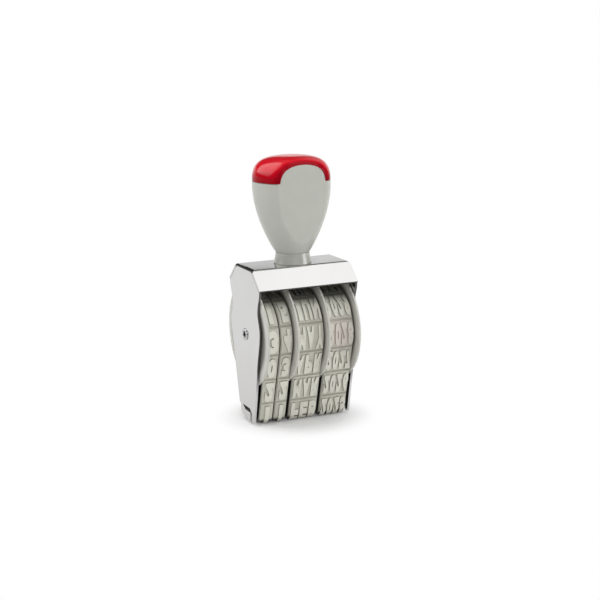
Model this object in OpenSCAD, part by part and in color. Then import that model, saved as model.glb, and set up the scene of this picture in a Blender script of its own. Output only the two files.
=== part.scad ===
// Hand date stamp: a plated sheet frame carries four wheels with endless type bands
// that run round a platen at the foot. A pear-shaped grip with a cap stands on the frame.
// Origin: centre of the printing face. +Z up, the front is -Y, +X is right seen from the front.

/* [Frame] */
// Thickness of the frame's sheet
sheet_t = 0.6; // [0.5:0.05:0.9]
// Height of the axle above the printing face
axle_z = 25.2; // [24.4:0.1:27]
// Height of the frame's top above the printing face
frame_h = 44.2; // [43.4:0.1:48]
// Gap between the printing face and the feet of the side plates
foot_gap = 0.6; // [0.4:0.05:1]
// Depth of a side plate at its foot
foot_d = 9.5; // [8.6:0.1:10.6]
// Depth of a side plate where the leg meets the belly
knee_d = 16; // [14:0.1:17]
// Drop from the axle to the knee
knee_drop = 10.2; // [8:0.1:12]
// Depth of a side plate at its belly
belly_d = 21; // [19:0.1:22.5]
// Rise from the axle to the belly
belly_rise = 2.3; // [0:0.1:3.5]
// Depth of a side plate at the waist under the skirts
waist_d = 18.4; // [16:0.1:19.5]
// Rise from the axle to the waist
waist_rise = 7.8; // [6.5:0.1:9.5]
// Inner radius of the bends between the frame's top and its side plates
plate_bend_r = 0.3; // [0.1:0.05:0.8]

/* [Skirts] */
// Depth of the frame's flat top between its bend lines
top_d = 12; // [10.8:0.1:13.4]
// Depth of the frame over the lower edges of its skirts
skirt_d = 22.6; // [21:0.1:24.5]
// Slope of the skirts below level, in degrees
skirt_slope = 42.5; // [40:0.5:47]
// Inner radius of the bends between the frame's top and its skirts
skirt_bend_r = 0.6; // [0.3:0.05:1]
// Gap between the skirts and the side plates under them
skirt_gap = 0.12; // [0.08:0.01:0.25]
// Relief in the corners where skirts and side plates leave the top
relief_d = 0.3; // [0.2:0.05:0.5]

/* [Bands] */
// Width of the band for the tens of the day
tens_band_w = 4.1; // [3:0.05:5]
// Width of the band for the units of the day
units_band_w = 3.65; // [3:0.05:5]
// Width of the month band
month_band_w = 8.45; // [6:0.05:10]
// Width of the year band
year_band_w = 8.2; // [6:0.05:10]
// Thickness of a band under its type
band_t = 0.9; // [0.6:0.05:1.1]
// Height of the type above the band
type_h = 0.8; // [0.5:0.05:1]
// Type cells on each band
cell_count = 12; // [10:1:12]
// Length of a type block along its band
type_len = 6.4; // [5:0.1:6.6]
// Plain margin beside a type block
type_margin = 0.3; // [0.2:0.05:0.5]
// Travel of the type past the middle of the printing face, towards the back
type_shift = 1.9; // [-2:0.1:2]

/* [Wheels] */
// Radius of the finger flanges
flange_r = 14.7; // [13:0.1:15]
// Thickness of the finger flanges
flange_t = 0.6; // [0.4:0.05:1]
// Teeth round a finger flange
flange_teeth = 72; // [48:4:96]
// Depth of the flange teeth
tooth_depth = 0.12; // [0.05:0.01:0.2]
// Ribs round a drum
drum_ribs = 24; // [12:2:36]
// Depth of the drum ribs
rib_depth = 0.3; // [0.1:0.05:0.5]
// Radius of the wheel hubs
hub_r = 3; // [2.4:0.1:4]
// Wall of a drum outside its hollow
drum_wall = 1.4; // [1:0.1:2]
// Thickness of the web that closes one side of a drum
web_t = 1; // [0.8:0.1:1.6]

/* [Axle] */
// Radius of the axle
axle_r = 1.25; // [1:0.05:1.6]
// Radius of the formed axle ends
axle_end_r = 1.65; // [1.4:0.05:2.2]
// Height of the formed axle ends over the side plates
axle_end_h = 0.35; // [0.2:0.05:0.6]
// Radius of the hollow in the axle ends
axle_hollow_r = 0.75; // [0.4:0.05:0.85]
// Depth of the hollow in the axle ends
axle_hollow_d = 1.4; // [0.8:0.1:2]
// Radius of the spacers on the axle
spacer_r = 4; // [3:0.1:5]
// Thickness of the left spacer
left_spacer_t = 0.15; // [0.1:0.05:0.4]
// Thickness of the right spacer
right_spacer_t = 0.15; // [0.1:0.05:0.4]

/* [Platen] */
// Width of the platen's flat, front to back
platen_flat = 6.2; // [5:0.1:6.8]
// Radius of the platen's lower edges
platen_edge_r = 0.8; // [0.5:0.05:1]
// Height of the platen above the centres of its lower edges
platen_rise = 6; // [4:0.1:7]
// Depth of the notch in a side plate, measured from the middle of the plate to the front
notch_front = 3.3; // [2.6:0.1:3.6]
// Height of the notch above the plate's foot
notch_h = 3.8; // [3.2:0.1:5]
// Gap in front of a platen lug
lug_front_gap = 1.1; // [0.4:0.1:1.2]
// Gap above the front part of a platen lug
lug_top_gap = 1.2; // [0.4:0.1:1.3]

/* [Grip] */
// Height of the handle above the frame
handle_h = 29.7; // [28:0.1:34]
// Height of the collar
collar_h = 3.1; // [2.4:0.1:4]
// Radius of the collar on the frame
collar_r = 5.3; // [4.9:0.1:5.4]
// Radius of the grip's neck
neck_r = 4.7; // [4.1:0.1:4.8]
// Largest radius of the grip
grip_r = 10.8; // [9.8:0.1:11.6]
// Height of the largest radius above the frame
grip_belly_z = 22.1; // [19:0.1:22.8]
// Roundness exponent of the grip's taper from the neck to its largest radius
taper_power = 0.88; // [0.8:0.02:1.2]
// Roundness exponent of the grip's dome
dome_power = 3.2; // [2:0.1:3.6]
// Distance of the flat faces from the axis at the height of the largest radius
facet_y = 7.9; // [7:0.1:8.6]
// Lean of the flat faces out of upright, in degrees
facet_lean = 4.5; // [2:0.5:8]

/* [Cap] */
// Thickness of the cap
cap_t = 0.4; // [0.4:0.05:1]
// Height of the cap's lower edge above the frame
cap_low_z = 23.1; // [22.8:0.1:25.5]

/* [Fastener] */
// Radius of the handle screw
screw_r = 1.5; // [1.2:0.05:1.6]
// Length of the screw above its head
screw_len = 11; // [9:0.5:13]
// Radius of the screw head
screw_head_r = 2.75; // [2.5:0.05:3]
// Height of the screw head
screw_head_h = 1.5; // [1.2:0.1:1.7]
// Width of the screw's driving slot
screw_slot_w = 0.8; // [0.6:0.05:1]
// Thickness of the washer under the screw head
washer_t = 0.5; // [0.4:0.05:0.8]
// Radius of the threaded insert
insert_r = 2.2; // [2.1:0.05:2.4]
// Length of the threaded insert
insert_len = 6; // [4:0.5:7]
// Radius of the grip's spigot inside the collar
spigot_r = 3.2; // [3:0.05:3.5]

/* [Clearances] */
// Reach of the face of the type past the lower edges of the skirts
type_over = 0.7; // [0.4:0.05:0.9]
// Between a band and its drum
drum_clear = 0.12; // [0.1:0.01:0.2]
// Between a band and the platen
platen_clear = 0.05; // [0.03:0.01:0.08]
// Beside a band, to the flange or the end of its drum
band_side_clear = 0.05; // [0.03:0.01:0.1]
// Between two wheels
wheel_gap = 0.15; // [0.1:0.01:0.3]
// Between a spacer and the wheel beside it
end_play = 0.05; // [0.03:0.01:0.1]
// Between the axle and what turns or sits on it
bore_clear = 0.05; // [0.03:0.01:0.09]
// Between parts of the handle that slip into each other
slip_clear = 0.05; // [0.03:0.01:0.1]
// Between the platen's ends and the side plates
platen_end_clear = 0.1; // [0.05:0.01:0.2]

/* [Hidden] */
$fn = 96;
// Steps in a drawn bend and along the grip's curve
bend_steps = 10;
grip_steps = 36;
// Margin by which a cutting shape runs past what it cuts
over = 1;

// Stack of wheels along the axle, from the left plate to the right plate
tens_drum_w = tens_band_w + 2 * band_side_clear;
units_drum_w = units_band_w + 2 * band_side_clear;
month_drum_w = month_band_w + 2 * band_side_clear;
year_drum_w = year_band_w + 2 * band_side_clear;
tens_w = tens_drum_w + flange_t;
units_w = units_drum_w + flange_t;
month_w = month_drum_w + flange_t;
year_w = year_drum_w + flange_t;
wheels_w = tens_w + units_w + month_w + year_w + 3 * wheel_gap;
inner_w = left_spacer_t + right_spacer_t + 2 * end_play + wheels_w;
frame_w = inner_w + 2 * sheet_t;
tens_x = -inner_w / 2 + left_spacer_t + end_play;
units_x = tens_x + tens_w + wheel_gap;
month_x = units_x + units_w + wheel_gap;
year_x = month_x + month_w + wheel_gap;
bore_r = axle_r + bore_clear;

// Drums: the type on the bands stands out past the skirts, where it can be read
type_face = band_t + type_h;
band_inner_r = skirt_d / 2 + type_over - type_face;
drum_r = band_inner_r - drum_clear;

// Loop that every band follows: a flat under the platen, its two edges, two runs and the wheel
edge_r = platen_edge_r + platen_clear;
edge_y = platen_flat / 2;
edge_z = type_face + edge_r;
radius_step = band_inner_r - edge_r;
centre_gap = norm([edge_y, axle_z - edge_z]);
run_lean = asin(radius_step / centre_gap) - atan2(edge_y, axle_z - edge_z);
run_len = sqrt(centre_gap * centre_gap - radius_step * radius_step);
run_side = [cos(run_lean), -sin(run_lean)];
run_up = [sin(run_lean), cos(run_lean)];
edge_len = (edge_r + band_t / 2) * (90 - run_lean) * PI / 180;
wheel_len = (band_inner_r + band_t / 2) * (90 + run_lean) * PI / 180;
run_start = edge_y + edge_len;
wheel_start = run_start + run_len;
half_loop = wheel_start + wheel_len;
cell_pitch = 2 * half_loop / cell_count;

// Skirts: bend, lower edge, and the direction from the outer side of a skirt to its inner side
plate_bend_out = plate_bend_r + sheet_t;
skirt_bend_out = skirt_bend_r + sheet_t;
skirt_bend_y = top_d / 2 - skirt_bend_out * tan(skirt_slope / 2);
skirt_edge = [skirt_d / 2, frame_h - (skirt_d - top_d) / 2 * tan(skirt_slope)];
skirt_inward = -[sin(skirt_slope), cos(skirt_slope)];

// Underside of the washer, on which the screw head bears
screw_z = frame_h - sheet_t - washer_t;

function smooth_step(t) = t * t * (3 - 2 * t);
function blend_line(a, b, t) = a + (b - a) * t;
function blend(a, b, t) = blend_line(a, b, smooth_step(t));
function arc_points(centre, r, from, to) =
    [for (i = [0:bend_steps]) let (a = from + (to - from) * i / bend_steps)
        centre + r * [cos(a), sin(a)]];
function reversed(points) = [for (i = [len(points) - 1:-1:0]) points[i]];
function flipped(points) = [for (i = [len(points) - 1:-1:0]) [-points[i][0], points[i][1]]];

// Half of the loop, as a point at a distance along it and a height over its inner side
function half_point(s, rise) =
    s < edge_y ? [s, edge_z - edge_r - rise]
    : s < run_start ? let (a = (s - edge_y) / edge_len * (90 - run_lean) - 90)
        [edge_y, edge_z] + (edge_r + rise) * [cos(a), sin(a)]
    : s < wheel_start ? [edge_y, edge_z] + (edge_r + rise) * run_side + (s - run_start) * run_up
    : let (a = (s - wheel_start) / wheel_len * (90 + run_lean) - run_lean)
        [0, axle_z] + (band_inner_r + rise) * [cos(a), sin(a)];
function wrapped(s) = s > half_loop ? s - 2 * half_loop : s;
function loop_point(s, rise) =
    let (w = wrapped(s), p = half_point(abs(w), rise)) [w > 0 ? -p[0] : p[0], p[1]];

// Radius of the grip at a height above the frame, drawn in by an inset
function grip_radius(z, inset) =
    let (top = handle_h - grip_belly_z - inset, rise = (z - grip_belly_z) / top)
    z < grip_belly_z
        ? let (t = (z - collar_h) / (grip_belly_z - collar_h))
            neck_r + (grip_r - neck_r) * pow(sin(90 * t), taper_power) - inset
        : (grip_r - inset) * pow(max(0, 1 - pow(rise, dome_power)), 1 / dome_power);

// Draws a front-to-back outline and runs it along the width
module along_x(x, w) {
    translate([x, 0, 0]) rotate([90, 0, 90]) linear_extrude(w) children();
}

// A cylinder on the axle's line
module on_axle(x, w, r) {
    translate([x, 0, axle_z]) rotate([0, 90, 0]) cylinder(h = w, r = r);
}

// A disc outline with shallow teeth
module toothed(r, depth, teeth) {
    polygon([for (i = [0:2 * teeth - 1]) let (a = 180 * i / teeth, rim = i % 2 == 0 ? r : r - depth)
        [rim * cos(a), rim * sin(a)]]);
}

module toothed_on_axle(x, w, r, depth, teeth) {
    along_x(x, w) translate([0, axle_z]) toothed(r, depth, teeth);
}

// Front-to-back outline of a side plate, clear of the skirts up to the reliefs under the top
module plate_outline() {
    corner = skirt_edge + (sheet_t + skirt_gap) * skirt_inward;
    relief_y = skirt_bend_y - relief_d;
    relief_z = frame_h - sheet_t - relief_d;
    leg = [[foot_d / 2, foot_gap], [knee_d / 2, axle_z - knee_drop]];
    belly = [for (i = [1:bend_steps]) let (t = i / bend_steps)
        [blend(knee_d, belly_d, t) / 2, axle_z + blend_line(-knee_drop, belly_rise, t)]];
    waist = [for (i = [1:bend_steps]) let (t = i / bend_steps)
        [blend(belly_d, waist_d, t) / 2, axle_z + blend_line(belly_rise, waist_rise, t)]];
    shoulder = [for (i = [1:bend_steps]) let (t = i / bend_steps)
        [blend(waist_d / 2, corner[0], t), blend_line(axle_z + waist_rise, corner[1], t)]];
    relief = [[corner[0] - (relief_z - corner[1]) / tan(skirt_slope), relief_z],
        [relief_y, relief_z], [relief_y, frame_h]];
    half = concat(leg, belly, waist, shoulder, relief);
    polygon(concat(half, flipped(half)));
}

// Half of the frame's left-to-right outline, drawn in by an inset
function frame_half(inset) =
    let (r = plate_bend_out - inset, side = frame_w / 2 - inset,
        centre = [frame_w / 2, frame_h] - plate_bend_out * [1, 1])
    concat([[side, 0]], arc_points(centre, r, 0, 90));

// Left-to-right section of the frame: two plates and the top between them
module frame_section() {
    outside = frame_half(0);
    inside = frame_half(sheet_t);
    polygon(concat(outside, flipped(outside), reversed(flipped(inside)), reversed(inside)));
}

// Left-to-right outline of the frame without its hollow
module frame_face() {
    outside = frame_half(0);
    polygon(concat(outside, flipped(outside)));
}

// Half of the line over the top and down one skirt, drawn in by an inset
function skirt_half(inset) =
    let (centre = [skirt_bend_y, frame_h - skirt_bend_out])
    concat([skirt_edge + inset * skirt_inward],
        arc_points(centre, skirt_bend_out - inset, 90 - skirt_slope, 90));

// Front-to-back section of the top and its two skirts
module skirt_section() {
    outside = skirt_half(0);
    inside = skirt_half(sheet_t);
    polygon(concat(outside, flipped(outside), reversed(flipped(inside)), reversed(inside)));
}

// Opening in the rear of a plate's foot that takes a platen lug
module notch_outline() {
    notch_z = foot_gap + notch_h;
    polygon([[-notch_front, foot_gap - over], [-notch_front, notch_z - lug_top_gap],
        [-notch_front + lug_top_gap, notch_z], [foot_d, notch_z], [foot_d, foot_gap - over]]);
}

// Runs a left-to-right outline from the rear to the front
module along_y() {
    rotate([90, 0, 0]) linear_extrude(2 * skirt_d, center = true) children();
}

module frame() {
    color("gainsboro") difference() {
        union() {
            intersection() {
                along_y() frame_section();
                along_x(-frame_w / 2, frame_w) plate_outline();
            }
            intersection() {
                along_y() frame_face();
                along_x(-frame_w / 2, frame_w) skirt_section();
            }
        }
        on_axle(-frame_w, 2 * frame_w, bore_r);
        for (x = [-frame_w / 2 - over, inner_w / 2 - over])
            along_x(x, sheet_t + 2 * over) notch_outline();
        translate([0, 0, frame_h - sheet_t - over])
            cylinder(h = sheet_t + 2 * over, r = screw_r + slip_clear);
    }
}

module axle() {
    length = frame_w + 2 * axle_end_h;
    color("silver") difference() {
        union() {
            on_axle(-length / 2, length, axle_r);
            on_axle(-length / 2, axle_end_h, axle_end_r);
            on_axle(frame_w / 2, axle_end_h, axle_end_r);
        }
        on_axle(-length / 2 - over, axle_hollow_d + over, axle_hollow_r);
        on_axle(length / 2 - axle_hollow_d, axle_hollow_d + over, axle_hollow_r);
    }
}

module spacer(x, w) {
    color("gainsboro") difference() {
        on_axle(x, w, spacer_r);
        on_axle(x - over, w + 2 * over, bore_r);
    }
}

// A wheel: ribbed drum with a hollow that opens to one side, hub and finger flange
module wheel(drum_x, drum_w, side_x, hollow_x) {
    color("lightgray") difference() {
        union() {
            toothed_on_axle(drum_x, drum_w, drum_r, rib_depth, drum_ribs);
            toothed_on_axle(side_x, flange_t, flange_r, tooth_depth, flange_teeth);
        }
        difference() {
            on_axle(hollow_x, drum_w - web_t + over, drum_r - drum_wall);
            on_axle(hollow_x - over, drum_w + 2 * over, hub_r);
        }
        on_axle(drum_x - drum_w, 3 * drum_w, bore_r);
    }
}

// A wheel whose finger flange is on its right and whose hollow opens to the left
module right_wheel(x, drum_w) {
    wheel(x, drum_w, x + drum_w, x - over);
}

module day_tens_wheel() {
    drum_x = tens_x + flange_t;
    wheel(drum_x, tens_drum_w, tens_x, drum_x + web_t);
}
module day_units_wheel() { right_wheel(units_x, units_drum_w); }
module month_wheel() { right_wheel(month_x, month_drum_w); }
module year_wheel() { right_wheel(year_x, year_drum_w); }

// Area inside the loop, grown by a rise over its inner side
module loop_area(rise) {
    foot = [[edge_y, edge_z - edge_r - rise], [edge_y, edge_z] + (edge_r + rise) * run_side,
        [0, axle_z] + (band_inner_r + rise) * run_side];
    polygon(concat(foot, flipped(foot)));
    translate([0, axle_z]) circle(r = band_inner_r + rise);
    for (side = [-1, 1])
        translate([side * edge_y, edge_z]) circle(r = edge_r + rise);
}

// Gap between two blocks of type, from the band's face outward
module type_gap(s) {
    ends = [for (side = [-1, 1]) s + side * (cell_pitch - type_len) / 2];
    polygon([loop_point(ends[0], band_t / 2), loop_point(ends[0], type_face + over),
        loop_point(ends[1], type_face + over), loop_point(ends[1], band_t / 2)]);
}

// An endless band with its blocks of type
module band(x, w) {
    color("lightgray") {
        along_x(x, w) difference() {
            loop_area(band_t);
            loop_area(0);
        }
        along_x(x + type_margin, w - 2 * type_margin) difference() {
            loop_area(type_face);
            loop_area(band_t / 2);
            for (i = [0:cell_count - 1]) type_gap((i + 1 / 2) * cell_pitch - type_shift);
        }
    }
}

module day_tens_band() { band(tens_x + flange_t + band_side_clear, tens_band_w); }
module day_units_band() { band(units_x + band_side_clear, units_band_w); }
module month_band() { band(month_x + band_side_clear, month_band_w); }
module year_band() { band(year_x + band_side_clear, year_band_w); }

// Front-to-back section of the platen, inside the loop
module platen_section() {
    shoulder = [edge_y, edge_z] + platen_edge_r * run_side;
    top_z = edge_z + platen_rise;
    top_y = shoulder[0] + (top_z - shoulder[1]) * tan(run_lean);
    half = [[edge_y, edge_z - platen_edge_r], shoulder, [top_y, top_z]];
    polygon(concat(half, flipped(half)));
    for (side = [-1, 1])
        translate([side * edge_y, edge_z]) circle(r = platen_edge_r);
}

// A lug that stands in the notch of a side plate and bears on the rear of its upper edge
module lug_section() {
    front = -notch_front + lug_front_gap;
    back = foot_d / 2;
    seat_z = foot_gap + notch_h;
    low_z = seat_z - lug_top_gap;
    polygon([[front, foot_gap], [0, foot_gap], [back, low_z - lug_top_gap],
        [back, seat_z], [back - lug_top_gap, seat_z], [edge_y / 2, low_z], [front, low_z]]);
}

module platen() {
    body_w = inner_w - 2 * platen_end_clear;
    lug_root = left_spacer_t + end_play;
    color("darkgray") {
        along_x(-body_w / 2, body_w) platen_section();
        along_x(-frame_w / 2, sheet_t + lug_root) lug_section();
        along_x(inner_w / 2 - lug_root, sheet_t + lug_root) lug_section();
    }
}

// Pear-shaped solid of the grip above the collar, drawn in by an inset
module grip_solid(inset) {
    top = handle_h - inset;
    heights = [for (i = [0:grip_steps]) let (t = i / grip_steps)
        collar_h + (top - collar_h) * sin(90 * t)];
    translate([0, 0, frame_h]) rotate_extrude()
        polygon(concat([[0, collar_h]], [for (z = heights) [grip_radius(z, inset), z]]));
}

// Half spaces outside the two flat faces
module facet_cuts() {
    size = 4 * grip_r;
    for (turn = [0, 180])
        rotate([0, 0, turn]) translate([0, -facet_y, frame_h + grip_belly_z])
            rotate([facet_lean, 0, 0]) translate([0, -size / 2, 0]) cube(size, center = true);
}

// Space that belongs to the cap, grown downward by a gap
module cap_zone(gap) {
    translate([0, 0, frame_h + cap_low_z - gap]) cylinder(h = handle_h, r = 2 * grip_r);
}

module handle_collar() {
    color("darkgray") translate([0, 0, frame_h]) difference() {
        cylinder(h = collar_h - slip_clear, r1 = collar_r, r2 = neck_r);
        translate([0, 0, -over]) cylinder(h = collar_h + 2 * over, r = spigot_r + slip_clear);
    }
}

module handle_grip() {
    color("darkgray") difference() {
        union() {
            difference() {
                grip_solid(0);
                cap_zone(slip_clear);
            }
            grip_solid(cap_t + slip_clear);
            translate([0, 0, frame_h]) cylinder(h = collar_h + over, r = spigot_r);
        }
        facet_cuts();
        translate([0, 0, frame_h - over]) cylinder(h = insert_len + over, r = insert_r);
        translate([0, 0, frame_h]) cylinder(h = screw_len, r = screw_r + slip_clear);
    }
}

module handle_cap() {
    color("firebrick") difference() {
        intersection() {
            grip_solid(0);
            cap_zone(0);
        }
        grip_solid(cap_t);
        facet_cuts();
    }
}

module handle_insert() {
    color("goldenrod") translate([0, 0, frame_h]) difference() {
        cylinder(h = insert_len, r = insert_r);
        translate([0, 0, -over]) cylinder(h = insert_len + 2 * over, r = screw_r + slip_clear);
    }
}

module handle_screw() {
    color("silver") translate([0, 0, screw_z]) difference() {
        union() {
            cylinder(h = screw_len, r = screw_r);
            translate([0, 0, -screw_head_h]) cylinder(h = screw_head_h, r = screw_head_r);
        }
        translate([0, 0, -screw_head_h]) cube([3 * screw_head_r, screw_slot_w, screw_head_h], center = true);
    }
}

module screw_washer() {
    color("gainsboro") translate([0, 0, screw_z]) difference() {
        cylinder(h = washer_t, r = screw_head_r);
        translate([0, 0, -over]) cylinder(h = washer_t + 2 * over, r = screw_r + slip_clear);
    }
}

frame();
axle();
spacer(-inner_w / 2, left_spacer_t);  // left_spacer
spacer(inner_w / 2 - right_spacer_t, right_spacer_t);  // right_spacer
day_tens_wheel();
day_units_wheel();
month_wheel();
year_wheel();
day_tens_band();
day_units_band();
month_band();
year_band();
platen();
handle_collar();
handle_grip();
handle_cap();
handle_insert();
handle_screw();
screw_washer();
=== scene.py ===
# %% [markdown]
# # A hand date stamp
# The real stamp is a bent, plated sheet frame with four wheels on one axle. Each wheel carries an
# endless rubber band with raised type, and all four bands run round a platen at the foot. A grey
# grip with a red cap is screwed on top.
# The CAD solids already have the right sizes, so they are loaded first and every piece below takes
# its place from them.

# %% Load the frame
import math

import bmesh
import bpy
from mathutils import Matrix, Vector


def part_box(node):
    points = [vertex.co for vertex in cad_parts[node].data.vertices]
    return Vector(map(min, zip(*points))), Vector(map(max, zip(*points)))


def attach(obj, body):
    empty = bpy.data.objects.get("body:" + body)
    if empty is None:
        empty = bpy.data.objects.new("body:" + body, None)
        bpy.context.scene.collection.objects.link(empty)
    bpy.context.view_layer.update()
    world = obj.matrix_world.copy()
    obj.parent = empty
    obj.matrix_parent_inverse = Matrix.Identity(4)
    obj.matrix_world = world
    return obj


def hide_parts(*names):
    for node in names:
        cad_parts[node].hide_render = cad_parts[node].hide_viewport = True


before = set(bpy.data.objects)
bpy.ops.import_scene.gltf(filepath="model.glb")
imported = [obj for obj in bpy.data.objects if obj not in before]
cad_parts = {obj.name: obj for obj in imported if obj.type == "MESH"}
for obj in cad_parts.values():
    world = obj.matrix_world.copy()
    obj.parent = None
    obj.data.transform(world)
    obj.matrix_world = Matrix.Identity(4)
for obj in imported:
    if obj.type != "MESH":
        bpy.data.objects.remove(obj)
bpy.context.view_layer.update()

MM = 0.001

# %% [markdown]
# ## Colour view
# A studio picture of a product is judged by its plain colours, so the view transform is Standard:
# a colour that is typed here comes out as that colour under plain light.

# %% Colour view
bpy.context.scene.view_settings.view_transform = "Standard"
print("view transform:", bpy.context.scene.view_settings.view_transform)

# %% [markdown]
# ## Camera
# The picture was taken from the front left, a little above the stamp, with a long lens. The
# direction, the distance and the focal length in pixels were worked out from corners of the frame
# and the grip, so the camera is built straight from those numbers: a right, an up and a back vector
# make its matrix.

# %% Camera
AZIMUTH, ELEVATION, ROLL = (math.radians(a) for a in (-23.623, 12.326, -0.963))
FOCAL_PX, IMAGE_PX, SENSOR_MM = 1429.33, 600, 36.0
CAMERA_AWAY, CLIP_NEAR, CLIP_FAR = 0.400, 0.01, 100.0
AIM = Vector((0.002023, 0.0, 0.033168))

back = Vector((math.sin(AZIMUTH) * math.cos(ELEVATION), -math.cos(AZIMUTH) * math.cos(ELEVATION),
               math.sin(ELEVATION)))
level = Vector((math.cos(AZIMUTH), math.sin(AZIMUTH), 0.0))
upright = back.cross(level)
right = math.cos(ROLL) * level + math.sin(ROLL) * upright
up = math.cos(ROLL) * upright - math.sin(ROLL) * level

camera_data = bpy.data.cameras.new("photo_camera")
camera_data.sensor_width = SENSOR_MM
camera_data.lens = FOCAL_PX / IMAGE_PX * SENSOR_MM
camera_data.clip_start, camera_data.clip_end = CLIP_NEAR, CLIP_FAR
camera = bpy.data.objects.new("photo_camera", camera_data)
bpy.context.scene.collection.objects.link(camera)
spot = AIM + back * CAMERA_AWAY
camera.matrix_world = Matrix(((right.x, up.x, back.x, spot.x), (right.y, up.y, back.y, spot.y),
                              (right.z, up.z, back.z, spot.z), (0.0, 0.0, 0.0, 1.0)))
bpy.context.scene.camera = camera
print("lens (mm):", round(camera_data.lens, 2), "camera at (mm):", [round(c / MM, 1) for c in spot])

# %% [markdown]
# ## Nodes
# Finishes, the floor, the room and the repeating shapes are all trees of nodes. One helper adds a
# node and fills its inputs, in order or by name: what comes out of another node is linked, and a
# plain value is typed in. A second one does sums.

# %% Nodes
def add(tree, kind, *in_order, how=None, **by_name):
    """A node with its inputs filled; how sets its operation."""
    node = tree.nodes.new(kind)
    if how:
        node.operation = how
    for key, value in [*enumerate(in_order), *by_name.items()]:
        target = node.inputs[key if isinstance(key, int) else key.replace("_", " ")]
        if isinstance(value, bpy.types.NodeSocket):
            tree.links.new(value, target)
        else:
            target.default_value = value
    return node


def maths(tree, how, *values):
    """The result of a Math node on one or two values."""
    return add(tree, "ShaderNodeMath", *values, how=how).outputs[0]


print("helpers for nodes:", add.__name__, "and", maths.__name__)

# %% [markdown]
# ## Finishes
# Every finish below starts the same way: a Principled shader, a soft cloud of noise that shifts the
# colour a little, another that shifts the gloss, and a fine one that raises the surface. Real
# plastic, rubber and plating are never one flat colour. The patterns read Object coordinates, which
# stay fixed to the piece. Their scales count cells in a metre, and the depth of the grain is in
# metres.

# %% A finish and its clouds
GLOSS_FINER, GLOSS_DETAIL, GRAIN_DETAIL = 2.3, 4.0, 2.0


def cloud(tree, scale, detail=3.0, stretch=(1.0, 1.0, 1.0)):
    """Noise on Object coordinates, with its own stretch."""
    place = add(tree, "ShaderNodeTexCoord")
    mapping = add(tree, "ShaderNodeMapping", Vector=place.outputs["Object"], Scale=stretch)
    noise = add(tree, "ShaderNodeTexNoise", Vector=mapping.outputs["Vector"], Scale=scale, Detail=detail)
    return noise.outputs["Fac"]


def spread(tree, value, low, high, start=0.3, stop=0.7):
    """Maps a value from start ... stop onto low ... high; the default suits the middle of a cloud."""
    return add(tree, "ShaderNodeMapRange", Value=value, From_Min=start, From_Max=stop, To_Min=low,
               To_Max=high).outputs["Result"]


def tint(tree, factor, first, second):
    """A colour between a first one, typed or from a node, and a second, by a factor from 0 to 1."""
    mix = tree.nodes.new("ShaderNodeMix")
    mix.data_type = "RGBA"
    mix.inputs["B"].default_value = (*second, 1.0)
    if isinstance(first, tuple):
        mix.inputs["A"].default_value = (*first, 1.0)
    else:
        tree.links.new(first, mix.inputs["A"])
    tree.links.new(factor, mix.inputs["Factor"])
    return mix.outputs["Result"]


def finish(name, light, dark, patch, gloss, grain, depth, metallic=0.0, stretch=(1.0, 1.0, 1.0)):
    """A Principled material: two colours in patches, a range of roughness, and a fine grain."""
    material = bpy.data.materials.new(name)
    material.use_nodes = True
    tree = material.node_tree
    shader = tree.nodes["Principled BSDF"]
    shader.inputs["Metallic"].default_value = metallic
    colour = tint(tree, spread(tree, cloud(tree, patch), 0.0, 1.0), light, dark)
    tree.links.new(colour, shader.inputs["Base Color"])
    rough = spread(tree, cloud(tree, patch * GLOSS_FINER, GLOSS_DETAIL, stretch), *gloss)
    tree.links.new(rough, shader.inputs["Roughness"])
    bump = add(tree, "ShaderNodeBump", Strength=1.0, Distance=depth,
               Height=cloud(tree, grain, GRAIN_DETAIL, stretch))
    tree.links.new(bump.outputs["Normal"], shader.inputs["Normal"])
    return material, tree, shader, colour


print("colour, gloss and grain come from three clouds")

# %% [markdown]
# ## Places on a piece
# Wear, ink and painted shade sit in certain places, so a finish also has to know where it is on its
# piece: how high or how far out, or how far from the line of the axle. The height of the axle follows
# from the top of a band, whose radius is half its depth.

# %% Places on a piece
tens_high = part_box("day_tens_band")[1]
AXLE_Z = tens_high.z - tens_high.y


def own_axis(tree, axis):
    """The piece's own X, Y or Z, in metres."""
    place = add(tree, "ShaderNodeTexCoord")
    return add(tree, "ShaderNodeSeparateXYZ", Vector=place.outputs["Object"]).outputs[axis]


def off_axle(tree):
    """The piece's own distance from the line of the axle, in metres."""
    place = add(tree, "ShaderNodeTexCoord")
    flat = add(tree, "ShaderNodeVectorMath", place.outputs["Object"], (0.0, 1.0, 1.0),
               (0.0, 0.0, -AXLE_Z), how="MULTIPLY_ADD")
    return add(tree, "ShaderNodeVectorMath", flat.outputs["Vector"], how="LENGTH").outputs["Value"]


def stain_and_shade(tree, shader, factor, colour, laid_colour):
    """Lays a second colour over a first by a factor, and hands the mix to the shader."""
    mixed = tint(tree, factor, colour, laid_colour)
    tree.links.new(mixed, shader.inputs["Base Color"])
    return mixed


print("axle height (mm):", round(AXLE_Z / MM, 3))

# %% [markdown]
# ## Metals
# The frame is bright plating, painted a little darker towards the foot as painted shade. Its sheared
# edges were cut after plating, so they are darker and rough, and low down they are painted bright, a
# painted reflection of the floor. The lugs of the platen are plated too, while its bar is blackened.
# The steel axle is painted near-black inside its hollow ends, a painted shade.

# %% Metals
FOOT_SHADE_Z, FLOOR_REFLECTION_Z = (2 * MM, 22 * MM), (9 * MM, 15 * MM)
HOLLOW_SHADE_EDGE, LUG_X = (0.80 * MM, 1.00 * MM), (13.95 * MM, 14.05 * MM)

plating, tree, shader, bright = finish("plated_sheet", (0.630, 0.624, 0.620), (0.604, 0.598, 0.594),
                                       patch=70.0, gloss=(0.045, 0.075), grain=700.0, depth=8e-7,
                                       metallic=1.0)
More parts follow.
